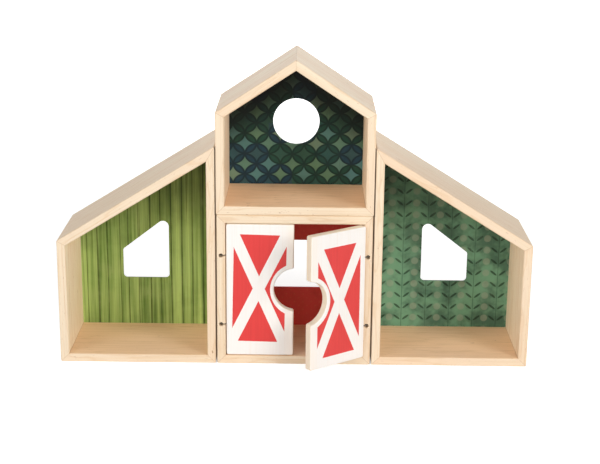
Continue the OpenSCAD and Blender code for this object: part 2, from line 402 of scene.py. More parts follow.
def add_piece(name, mesh, body, node, materials):
    """Puts a piece in the scene in place of its node, on its body, with its materials."""
    piece = bpy.data.objects.new(name, mesh)
    bpy.context.scene.collection.objects.link(piece)
    for material in materials:
        mesh.materials.append(material)
    shift = Vector([random.Random(name + axis).uniform(-4, 4) for axis in "xyz"])
    store(mesh, "shift", lambda spot: shift)
    even = piece.modifiers.new("Even shading", "WEIGHTED_NORMAL")
    even.keep_sharp = True
    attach(piece, body)
    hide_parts(node)


class Board:
    """One side of a box: where its outer face runs, and up to what height another box meets it."""

    def __init__(self, corners, side, covered):
        start = corners[side]
        end = corners[(side + 1) % len(corners)]
        before = left_of(heading(corners[side - 1], start))
        after = left_of(heading(end, corners[(side + 2) % len(corners)]))
        self.start = start
        self.along = heading(start, end)
        self.inward = left_of(self.along)
        self.length = (end - start).length
        self.covered = covered
        self.start_slope = before.dot(self.along) / (1 + before.dot(self.inward))
        self.end_slope = -after.dot(self.along) / (1 + after.dot(self.inward))

    def point(self, run, depth, rise):
        """A point from the distances along the board, from front to back and in from its face."""
        spot = self.start + self.along * run + self.inward * rise
        return Vector((spot.x, depth, spot.y))

    def place(self, spot):
        """The distances of a point along the board, from front to back and in from its face."""
        flat = Vector((spot.x, spot.z)) - self.start
        return Vector((flat.dot(self.along), spot.y, flat.dot(self.inward)))

    def seams(self, spot):
        """How far a point is from the two mitres, and below the top of the box that it meets."""
        run, _, rise = self.place(spot)
        first = (run - self.start_slope * rise) / math.hypot(1, self.start_slope)
        last = (self.length - self.end_slope * rise - run) / math.hypot(1, self.end_slope)
        return Vector((first, last, self.covered - spot.z))


def board_profile(sizes):
    """Cross-section of a board, from front to back and in from its outer face, with its groove."""
    radius = sizes.edge_radius
    rise = sizes.thickness - radius
    quarter = math.pi / 2
    groove_front = PANEL_FRONT - sizes.groove_play
    groove_back = PANEL_BACK + sizes.groove_play
    groove_floor = sizes.thickness - sizes.groove_depth
    groove = outline((groove_back, sizes.thickness), (groove_back, groove_floor),
                     (groove_front, groove_floor), (groove_front, sizes.thickness))
    return (arc((FRONT + radius, radius), radius, 2 * quarter, 3 * quarter, 4)
            + arc((BACK - radius, radius), radius, 3 * quarter, 4 * quarter, 4)
            + arc((BACK - radius, rise), radius, 0, quarter, 4)
            + groove
            + arc((FRONT + radius, rise), radius, quarter, 2 * quarter, 4))


def board_mesh(name, board, sizes):
    """A board swept between its two mitres, its outer corners rounded with its neighbours'."""
    steps = 4
    radius = sizes.corner_radius
    profile = board_profile(sizes)
    stations = []
    for slope, from_end in ((board.start_slope, False), (board.end_slope, True)):
        turns = [math.atan(slope) * (1 - i / steps) for i in range(steps + 1)]
        half = [((radius * (slope - math.sin(turn)), radius * (1 - math.cos(turn))),
                 (slope * sizes.thickness, sizes.thickness)) for turn in turns]
        if from_end:
            half = [((board.length - outer[0], outer[1]), (board.length - inner[0], inner[1]))
                    for outer, inner in reversed(half)]
        stations += half
    vertices = []
    for outer, inner in stations:
        for depth, rise in profile:
            share = rise / sizes.thickness
            vertices.append(board.point(outer[0] + (inner[0] - outer[0]) * share, depth,
                                        outer[1] + (inner[1] - outer[1]) * share))
    return solid_mesh(name, vertices, ring_faces(len(stations), len(profile)))


def pocket_cutters(axis_x, height, sizes, thickness):
    """The drilled pocket with an eased mouth, and the slot towards the door, of one hinge."""
    inward = -1 if axis_x > 0 else 1
    beyond = 1 * MM
    sides = 48
    radius = sizes.pocket_radius
    steps = ((FRONT - beyond, radius + sizes.pocket_flare), (FRONT, radius + sizes.pocket_flare),
             (FRONT + sizes.pocket_flare, radius), (FRONT + sizes.pocket_depth, radius))
    vertices = [Vector((axis_x + ring * math.cos(2 * math.pi * side / sides), depth,
                        height + ring * math.sin(2 * math.pi * side / sides)))
                for depth, ring in steps for side in range(sides)]
    pocket = solid_mesh("pocket", vertices, ring_faces(len(steps), sides))
    across = (axis_x, axis_x + inward * (thickness / 2 + beyond))
    corners = [(x, z) for x, z in zip((across[0], across[1], across[1], across[0]),
                                      (-1, -1, 1, 1))]
    vertices = [Vector((x, depth, height + z * sizes.slot_half))
                for depth in (FRONT - beyond, FRONT + sizes.slot_depth) for x, z in corners]
    slot = solid_mesh("slot", vertices, ring_faces(2, 4))
    return [pocket, slot]


def cut(mesh, cutters):
    """The mesh with each of the cutters taken out of it."""
    scene = bpy.context.scene
    helpers = [bpy.data.objects.new(cutter.name, cutter) for cutter in cutters]
    target = bpy.data.objects.new("target", mesh)
    for helper in [target, *helpers]:
        scene.collection.objects.link(helper)
    for helper in helpers:
        modifier = target.modifiers.new("Cut", "BOOLEAN")
        modifier.operation = "DIFFERENCE"
        modifier.solver = "EXACT"
        modifier.object = helper
    graph = bpy.context.evaluated_depsgraph_get()
    made = bpy.data.meshes.new_from_object(target.evaluated_get(graph))
    made.name = mesh.name
    for helper in [target, *helpers]:
        bpy.data.objects.remove(helper)
    made.shade_smooth()
    made.set_sharp_from_angle(angle=SHARP)
    return made


def eased_levels(front, back, edge, steps):
    """Offsets and depths, from front to back, of a sheet with rounded edges."""
    turns = [math.pi / 2 * i / steps for i in range(steps + 1)]
    easing = [(edge * (1 - math.sin(turn)), edge * (1 - math.cos(turn))) for turn in turns]
    return ([(offset, front + depth) for offset, depth in easing]
            + [(offset, back - depth) for offset, depth in reversed(easing)])


def panel_mesh(name, corners, window, sizes):
    """A thin panel with a window; its back takes the second material, the rest the first."""
    levels = eased_levels(PANEL_FRONT, PANEL_BACK, sizes.edge_radius, 3)
    holes = [window(grow) for grow, _ in levels]
    sides = len(holes[0])
    rims = len(corners)
    vertices = [Vector((corner.x, depth, corner.y))
                for depth in (PANEL_FRONT, PANEL_BACK) for corner in corners]
    vertices += [Vector((point.x, depth, point.y))
                 for hole, (_, depth) in zip(holes, levels) for point in hole]
    flat = geometry.tessellate_polygon([[corner.to_3d() for corner in corners],
                                        [point.to_3d() for point in holes[0]]])
    last = 2 * rims + (len(levels) - 1) * sides
    front = [tuple(i if i < rims else i + rims for i in face) for face in flat]
    back = [tuple(i + rims if i < rims else i - rims + last for i in face) for face in flat]
    rest = ring_faces(2, rims, False)
    rest += [tuple(i + 2 * rims for i in face)
             for face in ring_faces(len(levels), sides, False)]
    return solid_mesh(name, vertices, front + back + rest,
                      [0] * len(front) + [1] * len(back) + [0] * len(rest))


def door_outline(axis_x, node, sizes):
    """Front outline of a door from its hinge axis, with the half-round notch for a finger."""
    start = low(node).x + axis_x
    end = high(node).x + axis_x
    floor, top = low(node).z, high(node).z
    corner = sizes.corner_radius
    reach = math.asin(sizes.notch_past / sizes.notch_radius)
    full = arc((end + sizes.notch_past, sizes.notch_height), sizes.notch_radius,
               1.5 * math.pi - reach, 0.5 * math.pi + reach, 48)
    notch = [full[0], *full[3:-3], full[-1]]
    corners = outline((start, floor), (end, floor)) + notch + outline((end, top), (start, top))
    radii = [corner, corner, corner, *[0] * (len(notch) - 2), corner, corner, corner]
    return filleted(corners, radii)


def door_mesh(name, shape, front, back, edge):
    """A door in its own frame: its outline with rounded edges at the front and the back."""
    levels = eased_levels(front, back, edge, 5)
    vertices = [Vector((point.x, depth, point.y))
                for offset, depth in levels for point in inset(shape, offset)]
    return solid_mesh(name, vertices, ring_faces(len(levels), len(shape)))


def wire_mesh(name, path, radius, sides=14):
    """A round wire along a path, with slightly domed ends."""
    vertices = []
    frames = []
    normal = None
    for i, spot in enumerate(path):
        ahead = (path[min(i + 1, len(path) - 1)] - path[max(i - 1, 0)]).normalized()
        if normal is None:
            normal = ahead.orthogonal().normalized()
        normal = (normal - ahead * normal.dot(ahead)).normalized()
        frames.append((spot, ahead, normal))
    first, last = frames[0], frames[-1]
    dome = 0.35 * radius
    rings = [(first[0], first[1], first[2], 0.6 * radius)]
    rings += [(first[0] + first[1] * dome, first[1], first[2], radius)]
    rings += [(*frame_at, radius) for frame_at in frames[1:-1]]
    rings += [(last[0] - last[1] * dome, last[1], last[2], radius)]
    rings += [(last[0], last[1], last[2], 0.6 * radius)]
    for spot, ahead, across, size in rings:
        other = ahead.cross(across)
        for side in range(sides):
            turn = 2 * math.pi * side / sides
            vertices.append(spot + (across * math.cos(turn) + other * math.sin(turn)) * size)
    return solid_mesh(name, vertices, ring_faces(len(rings), sides))


class Signal:
    """A number that varies over a surface; arithmetic on it adds Math nodes."""

    def __init__(self, finish, socket):
        self.finish = finish
        self.socket = socket

    def __add__(self, other):
        return self.finish.math("ADD", self, other)

    def __sub__(self, other):
        return self.finish.math("SUBTRACT", self, other)

    def __rsub__(self, other):
        return self.finish.math("SUBTRACT", other, self)

    def __mul__(self, other):
        return self.finish.math("MULTIPLY", self, other)

    def __truediv__(self, other):
        return self.finish.math("DIVIDE", self, other)

    def __pow__(self, other):
        return self.finish.math("POWER", self, other)

    def __abs__(self):
        return self.finish.math("ABSOLUTE", self)

    __radd__ = __add__
    __rmul__ = __mul__


class Finish:
    """A material, or a world, in the making: plain words and expressions add its nodes."""

    def __init__(self, name, world=None):
        self.material = world or bpy.data.materials.new(name)
        self.material.use_nodes = True
        self.tree = self.material.node_tree
        self.tree.nodes.clear()

    def add(self, kind, settings, inputs):
        """A node of that type, its settings made first, with values or links on its sockets."""
        node = self.tree.nodes.new(kind)
        for key, value in settings.items():
            setattr(node, key, value)
        for key, value in inputs.items():
            socket = node.inputs[key]
            value = value.socket if isinstance(value, Signal) else value
            if isinstance(value, bpy.types.NodeSocket):
                self.tree.links.new(value, socket)
            else:
                socket.default_value = value
        return node

    def math(self, operation, *values):
        node = self.add("ShaderNodeMath", {"operation": operation}, dict(enumerate(values)))
        return Signal(self, node.outputs[0])

    def least(self, first, second):
        return self.math("MINIMUM", first, second)

    def most(self, first, second):
        return self.math("MAXIMUM", first, second)

    def part(self, value):
        """What is left of a number past its whole part."""
        return self.math("FRACT", value)

    def whole(self, value):
        return self.math("FLOOR", value)

    def root(self, value):
        return self.math("SQRT", value)

    def rise(self, value, start, end):
        """0 before start and 1 after end, with a soft step between them."""
        node = self.add("ShaderNodeMapRange", {"interpolation_type": "SMOOTHSTEP"},
                        {"Value": value, "From Min": start, "From Max": end})
        return Signal(self, node.outputs["Result"])

    def read(self, name):
        """A vector kept with the mesh."""
        return self.add("ShaderNodeAttribute", {"attribute_name": name}, {}).outputs["Vector"]

    def split(self, vector):
        node = self.add("ShaderNodeSeparateXYZ", {}, {"Vector": vector})
        return [Signal(self, output) for output in node.outputs]

    def join(self, x, y, z):
        return self.add("ShaderNodeCombineXYZ", {}, {"X": x, "Y": y, "Z": z}).outputs[0]

    def vector(self, operation, first, second):
        node = self.add("ShaderNodeVectorMath", {"operation": operation}, {0: first, 1: second})
        return node.outputs["Vector"]

    def stretched(self, vector, x, y, z):
        return self.vector("MULTIPLY", vector, (x, y, z))

    def noise(self, vector, detail=2.0, roughness=0.5, distortion=0.0):
        node = self.add("ShaderNodeTexNoise", {}, {
            "Vector": vector, "Scale": 1.0, "Detail": detail, "Roughness": roughness,
            "Distortion": distortion})
        return Signal(self, node.outputs["Fac"])

    def chance(self, vector):
        """A random number from 0 to 1 for each place."""
        node = self.add("ShaderNodeTexWhiteNoise", {}, {"Vector": vector})
        return Signal(self, node.outputs["Value"])

    def mix(self, share, first, second):
        """A colour between two colours."""
        node = self.add("ShaderNodeMix", {"data_type": "RGBA"},
                        {0: share, 6: opaque(first), 7: opaque(second)})
        return node.outputs[2]

    def bump(self, height, strength, distance):
        node = self.add("ShaderNodeBump", {},
                        {"Height": height, "Strength": strength, "Distance": distance})
        return node.outputs["Normal"]

    def surface(self, inputs):
        """Ends the material with one Principled shader."""
        shader = self.add("ShaderNodeBsdfPrincipled", {}, inputs)
        self.add("ShaderNodeOutputMaterial", {}, {"Surface": shader.outputs[0]})
        return self.material


def opaque(value):
    """A colour with a full alpha, or a link left as it is."""
    return value if isinstance(value, bpy.types.NodeSocket) else (*value[:3], 1.0)


def grained(finish, grain, colours, ground):
    """Colour, roughness and height of pale wood whose grain runs along the vector's first part."""
    figure = finish.noise(finish.stretched(grain, 5, 55, 55), 3.0, 0.55, 0.6)
    zones = finish.noise(finish.stretched(grain, 3, 14, 14), 1.0)
    lines = finish.noise(finish.stretched(grain, 9, 620, 620), 2.0, 0.6)
    flecks = finish.rise(finish.noise(finish.stretched(grain, 210, 1500, 1500), 1.0), 0.72, 0.78)
    knots = finish.rise(finish.noise(finish.stretched(grain, 120, 420, 420), 0.0), 0.85, 0.88)
    rings = finish.rise(abs(finish.part(figure * 7) - 0.5), 0.30, 0.5)
    base = finish.mix(finish.rise(zones, 0.35, 0.7) * 0.5, ground, colours.wood_pink)
    base = finish.mix(rings * 0.35 + finish.rise(lines, 0.45, 0.75) * 0.35, base,
                      colours.wood_dark)
    base = finish.mix(finish.most(flecks * 0.55, knots * 0.7), base, colours.wood_fleck)
    rough = 0.5 + lines * 0.12 + flecks * 0.1
    height = lines * 0.5 - flecks * 0.8 - rings * 0.15
    return base, rough, height


def board_finish(name, colours, sizes, inside):
    """Pale boards: grain along each board, handled edges and fine glue lines at the mitres, painted
    light on the inner faces, and a painted shadow on the outer face where two boxes meet.
    """
    finish = Finish(name)
    place = finish.read("place")
    grain = finish.vector("ADD", place, finish.read("shift"))
    _, depth, rise = finish.split(place)
    # Painted light: the inner face takes a brighter, warmer copy of the wood.
    inner = finish.rise(rise, sizes.thickness - 0.4 * MM, sizes.thickness - 0.05 * MM)
    ground = finish.mix(inner, colours.wood_light, inside)
    base, rough, height = grained(finish, grain, colours, ground)
    from_ends = (BACK - FRONT) / 2 - abs(depth)
    from_faces = finish.least(rise, sizes.thickness - rise)
    from_edge = finish.most(from_ends, from_faces)
    patchy = finish.noise(finish.stretched(grain, 60, 300, 300)) * (1.2 * MM)
    worn = 1 - finish.rise(from_edge + patchy, 0.6 * MM, 2.1 * MM)
    base = finish.mix(worn * 0.25, base, colours.wood_dark)
    first, last, covered = finish.split(finish.read("seam"))
    seam = 1 - finish.rise(finish.least(first, last), 0.03 * MM, 0.28 * MM)
    base = finish.mix(seam * 0.5, base, colours.seam)
    # Painted shadow in the gap between boxes: a dark strip on the outer face a few millimetres behind
    # the front, below the height where another box meets the board, darker beside the loft; it stays on
    # the board when the boxes are parted.
    joint = finish.rise(covered, -0.5 * MM, 0.5 * MM) * (
        1 - finish.rise(rise, 0.1 * MM, 0.9 * MM)) * (
        1 - finish.rise(depth, FRONT + 1 * MM, FRONT + 6 * MM))
    darker_gap_shadow_beside_loft = 1 - finish.rise(covered, LOFT_JOINT, LOFT_JOINT + 1 * MM)
    base = finish.mix(joint * (0.5 + darker_gap_shadow_beside_loft * 0.45), base, colours.joint)
    return finish.surface({
        "Base Color": base, "Roughness": rough - worn * 0.12,
        "Normal": finish.bump(height - seam * 0.9, 0.35, 0.3 * MM)})


def panel_board_finish(colours):
    """The bare back of the thin panels."""
    finish = Finish("Panel board")
    grain = finish.vector("ADD", finish.read("place"), finish.read("shift"))
    x, y, z = finish.split(grain)
    base, rough, height = grained(finish, finish.join(z, x, y), colours, colours.wood_light)
    base = finish.mix(0.25, base, colours.wood_dark)
    return finish.surface({"Base Color": base, "Roughness": rough + 0.1,
                           "Normal": finish.bump(height, 0.4, 0.3 * MM)})


def below_roof(finish, x, z, corners):
    """How far a place on a panel is below the nearest roof of its box."""
    nearest = None
    for i, corner in enumerate(corners):
        inward = left_of(heading(corner, corners[(i + 1) % len(corners)]))
        if inward.y < -0.1:
            below = (x - corner.x) * inward.x + (z - corner.y) * inward.y
            nearest = below if nearest is None else finish.least(nearest, below)
    return nearest


def wing_painted_shade(finish, x, z, corners, below, above):
    """The share of painted shade on a wing's panel: close below its roof, and up in its high side,
    where the roof and the loft shade it.
    """
    close = 1 - finish.rise(below_roof(finish, x, z, corners), 12 * MM, 50 * MM)
    return finish.most(close * below, finish.rise(z, 115 * MM, 170 * MM) * above)


def printed(finish, base, glint, shade, dusk):
    """Ends a print: matt ink with fine mottling, with painted shade laid over it by the given share."""
    spot = finish.vector("ADD", finish.read("place"), finish.read("shift"))
    clouds = finish.noise(finish.stretched(spot, 30, 30, 30), 4.0, 0.6)
    fibres = finish.noise(finish.stretched(spot, 900, 900, 60), 2.0)
    pale = finish.rise(clouds, 0.45, 0.8) * 0.3 + finish.rise(fibres, 0.55, 0.8) * 0.2
    base = finish.mix(pale, base, glint)
    base = finish.mix(finish.rise(clouds, 0.55, 0.2) * 0.25, base, BLACK)
    base = finish.mix(dusk, base, shade)
    return finish.surface({
        "Base Color": base, "Roughness": 0.62 + fibres * 0.15, "Specular IOR Level": 0.2,
        "Normal": finish.bump(fibres * 0.6 + clouds * 0.4, 0.25, 0.2 * MM)})


def loft_print(colours, sizes):
    """Overlapping circles: four-pointed fields between dark petals, dark in every third row, with
    painted shade below the roofs.
    """
    finish = Finish("Loft print")
    x, _, z = finish.split(finish.read("place"))
    pitch = sizes.circle
    radius = pitch / 2
    right = (x - sizes.circle_x) / sizes.circle_columns
    up = (z - sizes.circle_z) / sizes.circle_rows
    side = abs(finish.part(right + 0.5) - 0.5) * pitch
    level = abs(finish.part(up + 0.5) - 0.5) * pitch
    from_far = finish.root((radius - side) ** 2 + (radius - level) ** 2) - radius
    from_near = finish.root(side ** 2 + level ** 2) - radius
    in_first = finish.rise(from_far - from_near, -0.01 * MM, 0.01 * MM)
    field = finish.most(from_far, from_near)
    here = [finish.whole(right + 0.5), finish.whole(up + 0.5)]
    first_cell = finish.chance(finish.join(*here, 1.0))
    second_cell = finish.chance(finish.join(finish.whole(right), finish.whole(up), 5.0))
    chance = first_cell * in_first + second_cell * (1 - in_first)
    fields = finish.mix(chance, colours.loft_green, colours.loft_blue)
    fields = finish.mix(finish.rise(chance, 0.35, 0.5) * finish.rise(chance, 0.7, 0.55) * 0.5,
                        fields, colours.loft_sage)
    petals = finish.mix(finish.rise(finish.chance(finish.join(*here, 9.0)), 0.3, 0.7),
                        colours.loft_petal, colours.loft_night)
    row = (finish.whole(up + 0.5) * in_first + (finish.whole(up) + 0.5) * (1 - in_first)) * 2
    dark = 1 - finish.rise(abs(finish.part((row + 0.5) / 3) - 0.5), 0.08, 0.2)
    fields = finish.mix(dark * 0.8, fields, petals)
    petals = finish.mix(finish.rise(field, -2.2 * MM, -0.6 * MM) * 0.6, petals,
                        colours.loft_ground)
    base = finish.mix(finish.rise(field, 0.1 * MM, 0.9 * MM), petals, fields)
    # Painted shade: the print darkens toward the loft's roofs, where shade falls.
    dusk = 1 - finish.rise(below_roof(finish, x, z, LOFT), 22 * MM, 66 * MM)
    return printed(finish, base, colours.loft_glint, colours.dusk, dusk * 0.9)


def plank_print(colours, sizes):
    """Upright green planks of uneven widths, with dark gaps and streaks."""
    finish = Finish("Plank print")
    x, _, z = finish.split(finish.read("place"))
    wave = finish.noise(finish.join(x * 8, z * 6, 0.0)) * (1.6 * MM)
    uneven = finish.noise(finish.join(x * 75, 3.0, 0.0), 1.0) * (14 * MM)
    across = (x + wave + uneven) / sizes.plank
    plank = finish.chance(finish.join(finish.whole(across), 2.0, 0.0))
    in_plank = abs(finish.part(across) - 0.5)
    streaks = finish.noise(finish.join(x * 520, z * 9, plank * 9), 3.0, 0.6)
    broad = finish.noise(finish.join(x * 150, z * 5, plank * 5), 2.0)
    lines = finish.rise(finish.noise(finish.join(x * 330, z * 4, plank * 3), 1.0), 0.62, 0.74)
    shade = finish.rise(streaks, 0.3, 0.72) * 0.45 + finish.rise(broad, 0.35, 0.65) * 0.4
    base = finish.mix(finish.least(shade + plank * 0.35, 1.0), colours.plank_light,
                      colours.plank_dark)
    base = finish.mix(lines * 0.55, base, colours.plank_gap)
    base = finish.mix(finish.rise(in_plank, 0.36, 0.5) * 0.4, base, colours.plank_gap)
    base = finish.mix(finish.rise(in_plank, 0.43, 0.49) * 0.7, base, colours.plank_gap)
    # Painted shade below the roof and in the wing's high side.
    return printed(finish, base, colours.plank_glint, colours.dusk,
                   wing_painted_shade(finish, x, z, LEFT_WING, 0.4, 0.5))


def leaf_print(colours, sizes):
    """Upright stems with pairs of small leaves, and soft berries between the stems."""
    finish = Finish("Leaf print")
    place = finish.read("place")
    x, _, z = finish.split(place)
    side = abs(finish.part(x / sizes.stems) - 0.5) * sizes.stems
    level = (finish.part(z / sizes.leaf_rows) - 0.5) * sizes.leaf_rows
    from_leaf = side - sizes.leaf_out
    turn = sizes.leaf_turn
    along = from_leaf * math.cos(turn) + level * math.sin(turn)
    over = level * math.cos(turn) - from_leaf * math.sin(turn)
    leaf = finish.root((along / sizes.leaf_long) ** 2 + (over / sizes.leaf_wide) ** 2)
    berry = finish.root((sizes.stems / 2 - side) ** 2 + level ** 2)
    soft = 0.4 * MM
    clouds = finish.noise(finish.stretched(place, 40, 40, 40), 3.0, 0.6)
    base = finish.mix(finish.rise(clouds, 0.38, 0.62), colours.leaf_ground, colours.leaf_shade)
    base = finish.mix((1 - finish.rise(berry, sizes.berry - soft, sizes.berry + soft)) * 0.5,
                      base, colours.leaf_dot)
    base = finish.mix((1 - finish.rise(leaf, 0.75, 1.15)) * 0.78, base, colours.leaf_dark)
    base = finish.mix((1 - finish.rise(side, 0.25 * MM, 0.6 * MM)) * 0.45, base,
                      colours.leaf_dark)
    # Painted shade below the roof and in the wing's high side.
    return printed(finish, base, colours.leaf_glint, colours.dusk,
                   wing_painted_shade(finish, x, z, RIGHT_WING, 0.3, 0.45))


def dotted_print(colours, sizes):
    """Dark red with faint dots, some fainter than others, in staggered rows."""
    finish = Finish("Stable print")
    x, _, z = finish.split(finish.read("place"))
    pitch = sizes.dots
    right, up = x / pitch, z / pitch
    side = abs(finish.part(right) - 0.5) * pitch
    level = abs(finish.part(up) - 0.5) * pitch
    near = finish.root(side ** 2 + level ** 2)
    far = finish.root((pitch / 2 - side) ** 2 + (pitch / 2 - level) ** 2)
    chance = finish.chance(finish.join(finish.whole(right * 2), finish.whole(up * 2), 3.0))
    soft = 0.2 * MM
    dots = (1 - finish.rise(finish.least(near, far), sizes.dot - soft, sizes.dot + soft)) * chance
    base = finish.mix(dots * 0.6, colours.stable_ground, colours.stable_dot)
    # Painted shade: the print darkens a little just under the stable's top.
    dusk = 1 - finish.rise(below_roof(finish, x, z, STABLE), 10 * MM, 30 * MM)
    return printed(finish, base, colours.stable_glint, colours.dusk, dusk * 0.2)


def door_finish(name, colours, sizes, front, height, turn):
    """A door: a thin white coat all round, and in front a red field behind a white cross, with painted
    warm light toward its free edge.
    """
    finish = Finish(name)
    x, depth, z = finish.split(finish.read("place"))
    grain = finish.vector("ADD", finish.join(z, x, depth), finish.read("shift"))
    wood, wood_rough, wood_height = grained(finish, grain, colours, colours.wood_light)
    wobble = (finish.noise(finish.stretched(grain, 500, 500, 500), 2.0) - 0.5) * (0.3 * MM)
    right, up = x - sizes.print_centre, z - height
    across = right * math.cos(turn) - up * math.sin(turn)
    level = abs(right * math.sin(turn) + up * math.cos(turn))
    slope = sizes.bar_slope
    from_bar = abs(level - abs(across) * slope) / math.hypot(1, slope) - sizes.bar_width / 2
    off_field = sizes.field_centre - sizes.print_centre
    from_rim = finish.least(sizes.field_half_width - abs(across - off_field),
                            sizes.field_half_height - level)
    from_ring = finish.root((x - sizes.ring_centre) ** 2 + (z - sizes.notch_height) ** 2
                            ) - sizes.ring_radius
    inside = finish.least(finish.least(from_bar, from_rim), from_ring) + wobble
    red = finish.rise(inside, -0.12 * MM, 0.12 * MM)
    streaks = finish.noise(finish.stretched(grain, 14, 500, 500), 3.0, 0.6)
    white = finish.mix(finish.rise(streaks, 0.45, 0.75) * 0.12, colours.door_white,
                       colours.wood_pink)
    # Painted light: the white warms toward the free edge, standing in for light bounced off the wood
    # into the door's shade.
    white = finish.mix(finish.rise(x, 60 * MM, 75 * MM) * 0.6, white, colours.door_warm)
    ink = finish.mix(finish.rise(streaks, 0.4, 0.75) * 0.16, colours.door_red,
                     colours.door_streak)
    paint = finish.mix(red, white, ink)
    reach = depth - front - sizes.paint_reach + wobble * 2
    thin = finish.rise(reach, -0.2 * MM, 0.6 * MM)
    coat = finish.mix(0.75, wood, colours.door_edge)
    return finish.surface({
        "Base Color": finish.mix(thin, paint, coat),
        "Roughness": thin * wood_rough + (1 - thin) * (0.42 + streaks * 0.1),
        "Normal": finish.bump(wood_height * (thin * 0.5 + 0.2), 0.3, 0.2 * MM)})


def steel_finish(colours):
    """Bright drawn wire with fine scratches and dull patches."""
    finish = Finish("Hinge steel")
    spot = finish.vector("ADD", finish.read("place"), finish.read("shift"))
    scratches = finish.noise(finish.stretched(spot, 3000, 3000, 900), 3.0)
    patches = finish.noise(finish.stretched(spot, 600, 600, 600), 2.0)
    base = finish.mix(finish.rise(patches, 0.45, 0.75) * 0.5, colours.steel,
                      colours.steel_dull)
    return finish.surface({
        "Base Color": base, "Metallic": 1.0, "Roughness": 0.28 + patches * 0.25,
        "Normal": finish.bump(scratches, 0.15, 0.1 * MM)})


def wood_material(word):
    """The material of a box's board, made once for the floors and once for the others, each with its
    own painted light on the inner faces.
    """
    scene = bpy.context.scene
    colours = scene.barn_colours
    name, inside = (("Floor wood", colours.wood_floor) if word == "floor"
                    else ("Pale wood", colours.wood_inside))
    return bpy.data.materials.get(name) or board_finish(name, colours, scene.barn_boards, inside)


def add_boards(box):
    """The boards of one box, with hinge pockets in the stable's walls."""
    scene = bpy.context.scene
    corners, sides = BOXES[box]
    for side, word in enumerate(sides):
        node = f"{box}_{word}"
        board = Board(corners, side, TOUCHING.get(node, UNTOUCHED))
        mesh = board_mesh(node + "_board", board, scene.barn_boards)
        if node in ("stable_left_wall", "stable_right_wall"):
            leaf = node.split("_")[1] + "_leaf"
            axis_x = JOINTS[leaf]["pos_m"][0]
            cutters = [cutter for height in hinge_heights()
                       for cutter in pocket_cutters(axis_x, height, scene.barn_hinges,
                                                    scene.barn_boards.thickness)]
            mesh = cut(mesh, cutters)
        store(mesh, "place", board.place)
        store(mesh, "seam", board.seams)
        add_piece(node + "_board", mesh, box, node, [wood_material(word)])


def hinge_heights():
    """Heights of the two hinges of a door above the ground."""
    return [(low(node).z + high(node).z) / 2
            for node in ("left_lower_hinge_eye", "left_upper_hinge_eye")]


def square_window(corners, radii):
    """A rule that gives a straight sided window's outline, grown by a distance."""
    return lambda grow: filleted(inset(corners, -grow), [radius + grow for radius in radii], 8)


def leaf_matrix(side):
    """Where a door's own frame stands: at its hinge axis, mirrored and turned on the right."""
    joint = JOINTS[side + "_leaf"]
    axis = Vector((joint["pos_m"][0], joint["pos_m"][1], 0))
    if side == "left":
        return Matrix.Translation(axis)
    open_angle = math.radians(-joint["range_deg"][0])
    return (Matrix.Translation(axis) @ Matrix.Rotation(open_angle, 4, "Z")
            @ Matrix.Scale(-1, 4, (1, 0, 0)))


def settle(mesh, matrix):
    """Keeps each point's place in the piece's own frame, then moves the mesh into the barn."""
    store(mesh, "place", lambda spot: spot)
    mesh.transform(matrix)
    if matrix.determinant() < 0:
        mesh.flip_normals()


class BoxBoards:
    """What the operators share that add the boards of some boxes"""

    def execute(self, context):
        for box in self.boxes:
            add_boards(box)
        return {"FINISHED"}


class BARN_OT_stable_boards(BoxBoards, bpy.types.Operator):
    """Adds the four boards of the stable, with the pockets of its hinges"""
    bl_idname = "barn.stable_boards"
    bl_label = "Stable boards"
    boxes = ("stable",)


class BARN_OT_loft_boards(BoxBoards, bpy.types.Operator):
    """Adds the five boards of the gabled loft"""
    bl_idname = "barn.loft_boards"
    bl_label = "Loft boards"
    boxes = ("loft",)


class BARN_OT_wing_boards(BoxBoards, bpy.types.Operator):
    """Adds the four boards of each lean-to wing"""
    bl_idname = "barn.wing_boards"
    bl_label = "Wing boards"
    boxes = ("left_wing", "right_wing")


class BARN_OT_back_panels(bpy.types.Operator):
    """Adds the four printed back panels with their windows"""
    bl_idname = "barn.back_panels"
    bl_label = "Back panels"

    def execute(self, context):
        boards, sizes = context.scene.barn_boards, context.scene.barn_windows
        colours = context.scene.barn_colours
        wing_left = (RIGHT_WING[0].x + RIGHT_WING[1].x - sizes.wing_width) / 2 + sizes.wing_out
        wing_right = wing_left + sizes.wing_width
        wing = outline((wing_left, sizes.wing_sill), (wing_right, sizes.wing_sill),
                       (wing_right, sizes.wing_sill + sizes.wing_low_rise),
                       (wing_left, sizes.wing_sill + sizes.wing_high_rise))
        half = sizes.stable_width / 2
        stable = outline((-half, sizes.stable_sill), (half, sizes.stable_sill),
                         (half, sizes.stable_sill + sizes.stable_rise),
                         (-half, sizes.stable_sill + sizes.stable_rise))
        loft_middle = (0, LOFT[0].y + sizes.round_height)
        even, peak = sizes.corner_radius, sizes.peak_radius
        windows = {
            "stable": (square_window(stable, [even] * 4), dotted_print),
            "loft": (lambda grow: arc(loft_middle, sizes.round_radius + grow, 0,
                                      2 * math.pi, 96)[:-1], loft_print),
            "left_wing": (square_window(mirrored(wing), [even, even, peak, even]), plank_print),
            "right_wing": (square_window(wing, [even, even, even, peak]), leaf_print),
        }
        bare = panel_board_finish(colours)
        for box, (window, finish) in windows.items():
            corners = inset(BOXES[box][0],
                            boards.thickness - boards.groove_depth + boards.groove_play)
            node = box + "_back_panel"
            mesh = panel_mesh(node + "_print", corners, window, sizes)
            store(mesh, "place", lambda spot: spot)
            add_piece(node + "_print", mesh, box, node,
                      [finish(colours, context.scene.barn_prints), bare])
        return {"FINISHED"}


